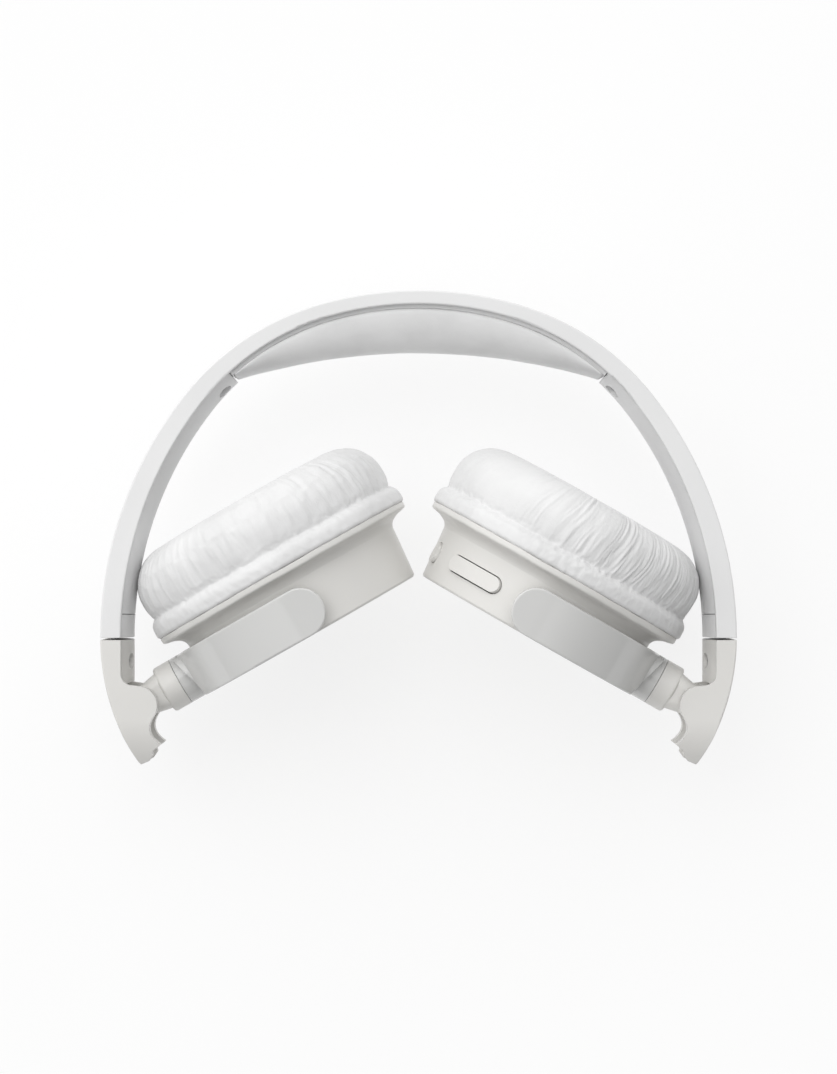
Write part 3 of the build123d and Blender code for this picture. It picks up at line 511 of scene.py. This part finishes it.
def ear_cushion(side):
    """The foam ring with its leatherette skin, gathered at the seam above the skirt."""
    seed = SIDES.index(side) + 1
    rows = lathe(cushion_rows(), AROUND)
    angles, radius, height = round_axis(rows / MM)
    outward = np.stack([np.cos(angles), np.sin(angles), 0 * angles], -1)
    rise = np.stack([0 * height, 0 * height, height / PUCKER_STRETCH], -1)
    around = outward * CUSHION_R + rise
    pucker = smooth_noise(around, PUCKER_SIZE, seed) * (radius > SEAM_FROM_R)
    near_seam = np.exp(-(((height - PINCH) / PUCKER_REACH) ** 2))
    rows[..., 2] += PUCKER_UP * MM * pucker * near_seam
    rows += outward * (PUCKER_OUT * MM * pucker)[..., None]
    piece = make(
        f"cushion_{side}", rows, grid(rows, closed_across=True), "leatherette",
        f"cup_{side}", f"ear_cushion_{side}", cup_placement(side),
    )
    place(piece, buckle(piece, rows, side))
    refine(piece)
    crease(piece, side, seed)
    piece.data.materials[0] = leatherette(f"leatherette_{side}", LEATHER, CRINKLES[side])


def lip(side):
    """The lip under the cushion's skirt: flares out of the cup's wall to a thin wavy rim."""
    rows = lathe(resample(LIP, LIP_ROWS), LIP_AROUND)
    angles, radius, _ = round_axis(rows)
    rim = np.clip((radius / MM - LIP_FLEX_FROM) / LIP_FLEX_OVER, 0, 1)
    outward = np.stack([np.cos(angles), np.sin(angles), 0 * angles], -1)
    wave = smooth_noise(outward, LIP_WAVE_SIZE, LIP_SEED)
    rows[..., 2] += LIP_WAVE * MM * wave * rim
    piece = make(
        f"lip_{side}", rows, grid(rows, closed_across=True), "flexible_lip",
        f"cup_{side}", f"cushion_ring_{side}", cup_placement(side),
    )
    subdivide(piece)


def ear_cloth(side):
    """The acoustic cloth at the bottom of the cushion's well, slightly domed."""
    radii = np.linspace(CLOTH_HUB, CLOTH_R, CLOTH_ROWS)
    front = np.stack([radii, CLOTH_FRONT - CLOTH_DOME * (1 - (radii / CLOTH_R) ** 2)], axis=1)
    back = np.stack([radii[::-1], np.full(len(radii), CLOTH_BACK)], axis=1)
    rows = lathe(np.concatenate([front, back]), CLOTH_AROUND)
    rows[..., 2] -= CLOTH_WAVE * MM * smooth_noise(rows, CLOTH_WAVE_SIZE * MM, CLOTH_SEED)
    make(
        f"ear_cloth_{side}", rows, capped(rows), "mesh_cloth",
        f"cup_{side}", f"ear_mesh_{side}", cup_placement(side),
    )


for side in SIDES:
    ear_cushion(side)
    lip(side)
    ear_cloth(side)


# ---------------------------------------------------------------- headband pad

PAD_COLUMNS, PAD_HALF_TURN = 190, 45  # columns over an arc of this many degrees each way
CROWN_R, RIM_OVER_CROWN = 86 * MM, 0.4 * MM  # the crown's arc, and how far the rim is above it
PAD_SOFT_R, PAD_CORNER = 8.5 * MM, 0.5 * MM  # lower corners, upper corners
PAD_SOFT_TO, PAD_SIDE_TO = 0.95, 0.94  # heights of the soft corners and of the flat sides
PAD_TOP_TO = 0.3  # where the points on its flat top stop, as a share of the width
PAD_HALF_POINTS, PAD_CORNER_POINTS = 24, 12
OUTSIDE = 300 * MM  # from the crown arc's centre, well clear of the headband
PAD_END_COLUMNS, PAD_BLUNT = 5, 0.2  # its ends thin out over so many columns, not to a point
PAD_NARROWEST = 0.93  # its width at the ends, as a share of the width in the middle
PAD_WAVE, PAD_WAVE_SIZE, PAD_WAVE_SEED = 0.22 * MM, 16 * MM, 3
PAD_FINE, PAD_FINE_SIZE, PAD_FINE_SEED = 0.4, 6 * MM, 5  # as a share of the wave
PAD_FACE_WAVE = 0.15 * MM


def pad_edges():
    """Where the CAD pad starts and ends on lines from the crown arc's centre."""
    cad = frame["nodes"]["headband_pad"]
    low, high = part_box("headband_pad")
    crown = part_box("pad_base")[1].y - RIM_OVER_CROWN
    centre = Vector((0, crown - CROWN_R, (low.z + high.z) / 2))
    lines = []
    for angle in np.radians(np.linspace(-PAD_HALF_TURN, PAD_HALF_TURN, PAD_COLUMNS)):
        line = Vector((math.sin(angle), math.cos(angle), 0))
        below, under, _, _ = cad.ray_cast(centre, line)
        above, top, _, _ = cad.ray_cast(centre + OUTSIDE * line, -line)
        if below and above:
            lines.append((line, under[:], top[:]))
    return lines


def pad_section(height, width):
    """A slab's section: small corners on top, wide soft ones below. Rows of (across, up)."""
    soft = min(PAD_SOFT_R, width / 2)
    flat, drop = width / 2 - soft, PAD_SOFT_TO * height
    turns = np.radians(np.linspace(4, 86, PAD_CORNER_POINTS))
    half = [(0, 0), (flat, 0)]
    half += [(flat + soft * math.sin(turn), drop - drop * math.cos(turn)) for turn in turns]
    half += [(width / 2, PAD_SIDE_TO * height), (width / 2 - PAD_CORNER, height)]
    half += [(PAD_TOP_TO * width, height)]
    right = resample(half, PAD_HALF_POINTS)
    return np.concatenate([right, right[::-1] * (-1, 1)])


def headband_pad():
    """The padded crescent under the crown, fuller in the middle and thin at its ends."""
    low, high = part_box("headband_pad")
    middle, width = (low.z + high.z) / 2, high.z - low.z
    lines = pad_edges()
    rows = []
    for i, (line, under, top) in enumerate(lines):
        inset = min(1.0, min(i, len(lines) - 1 - i) / PAD_END_COLUMNS)
        taper = math.sqrt(min(1.0, (inset + PAD_BLUNT) * (2 - inset) / (1 + PAD_BLUNT)))
        height = (Vector(top) - Vector(under)).length
        narrowing = PAD_NARROWEST + (1 - PAD_NARROWEST) * taper
        section = pad_section(height, width * narrowing)
        row = np.array(under)[None] + section[:, 1:] * np.array(line)[None]
        row[:, 2] = middle + section[:, 0]
        rows.append(row)
    rows = np.array(rows)
    wave = smooth_noise(rows, PAD_WAVE_SIZE, PAD_WAVE_SEED)
    wave += PAD_FINE * smooth_noise(rows, PAD_FINE_SIZE, PAD_FINE_SEED)
    side = np.clip(np.abs(rows[..., 2] - middle) / (width / 2) - 0.5, 0, 1) * 2
    rows[..., 2] += np.sign(rows[..., 2] - middle) * side * (PAD_WAVE * wave)
    rows[..., 1] += PAD_FACE_WAVE * wave * (1 - side)
    piece = make(
        "headband_cushion", rows, capped(rows), "leatherette", "headband", "headband_pad"
    )
    subdivide(piece)


headband_pad()


# ---------------------------------------------------------------- the room

FLOOR_HALF, FLOOR_GLOW, FLOOR_TONES = 3.0, 0.755, (0.232, 0.24)
SKY_FROM, SKY_LOW, SKY_HIGH = (-0.35, 0.62, 0.8), 0.18, 1.48
HOOD_EDGE, HOOD_BLUR = 12, 1  # the dark hood overhead, in degrees from upright
HOOD_LEVEL = 0.1  # as a share of the light around it
SOFTBOX_AT, SOFTBOX_SIZE, SOFTBOX_WATTS = (-0.28, 0.5, 1.05), (0.9, 0.7), 2.6
CAMERA_AT, LENS, SENSOR = (0, -2.5 * MM, 1.038), 124.1, 36


def lit_floor():
    """A white table that is lit from below, so that shadows on it stay faint."""
    mesh = bpy.data.meshes.new("floor")
    corners = [(x * FLOOR_HALF, y * FLOOR_HALF, 0) for x, y in ((-1, -1), (1, -1), (1, 1), (-1, 1))]
    mesh.from_pydata(corners, [], [(0, 1, 2, 3)])
    floor = bpy.data.objects.new("floor", mesh)
    scene.collection.objects.link(floor)
    paper = Finish("lit_paper", 0.8, Specular_IOR_Level=0.1, Emission_Strength=FLOOR_GLOW)
    paper.shader.inputs["Emission Color"].default_value = (1, 1, 1, 1)
    paper.colours(paper.noise(4), *((tone,) * 3 for tone in FLOOR_TONES))
    mesh.materials.append(paper.done())


def studio_sky():
    """Soft light, brightest from beyond the crown, with a dark hood straight overhead."""
    world = bpy.data.worlds.new("studio")
    scene.world = world
    world.use_nodes = True
    nodes, link = world.node_tree.nodes, world.node_tree.links.new
    sky = nodes["Background"]
    sky.inputs["Color"].default_value = (1, 1, 1, 1)
    direction = nodes.new("ShaderNodeTexCoord").outputs["Generated"]
    towards = nodes.new("ShaderNodeVectorMath")
    towards.operation = "DOT_PRODUCT"
    towards.inputs[1].default_value = Vector(SKY_FROM).normalized()
    upright = nodes.new("ShaderNodeSeparateXYZ")
    spread, hood = nodes.new("ShaderNodeMapRange"), nodes.new("ShaderNodeMapRange")
    set_range(spread, 0, 1, SKY_LOW, SKY_HIGH)
    edges = [math.cos(math.radians(HOOD_EDGE + blur)) for blur in (HOOD_BLUR, -HOOD_BLUR)]
    set_range(hood, *edges, 1, HOOD_LEVEL)
    strength = nodes.new("ShaderNodeMath")
    strength.operation = "MULTIPLY"
    link(direction, towards.inputs[0])
    link(direction, upright.inputs[0])
    link(towards.outputs["Value"], spread.inputs["Value"])
    link(upright.outputs["Z"], hood.inputs["Value"])
    link(spread.outputs["Result"], strength.inputs[0])
    link(hood.outputs["Result"], strength.inputs[1])
    link(strength.outputs["Value"], sky.inputs["Strength"])


def softbox():
    """One large light above the crown, a little to the left."""
    light = bpy.data.lights.new("softbox", "AREA")
    light.shape, light.energy = "RECTANGLE", SOFTBOX_WATTS
    light.size, light.size_y = SOFTBOX_SIZE
    lamp = bpy.data.objects.new("softbox", light)
    scene.collection.objects.link(lamp)
    lamp.location = SOFTBOX_AT
    lamp.rotation_euler = (-lamp.location).to_track_quat("-Z", "Y").to_euler()


def camera():
    """Straight above, so that the headband's ends are level in the picture."""
    eye = bpy.data.objects.new("camera", bpy.data.cameras.new("camera"))
    scene.collection.objects.link(eye)
    eye.location = CAMERA_AT
    eye.data.sensor_fit, eye.data.sensor_height, eye.data.lens = "VERTICAL", SENSOR, LENS
    scene.camera = eye


lit_floor()
studio_sky()
softbox()
camera()
scene.view_settings.view_transform = "Standard"
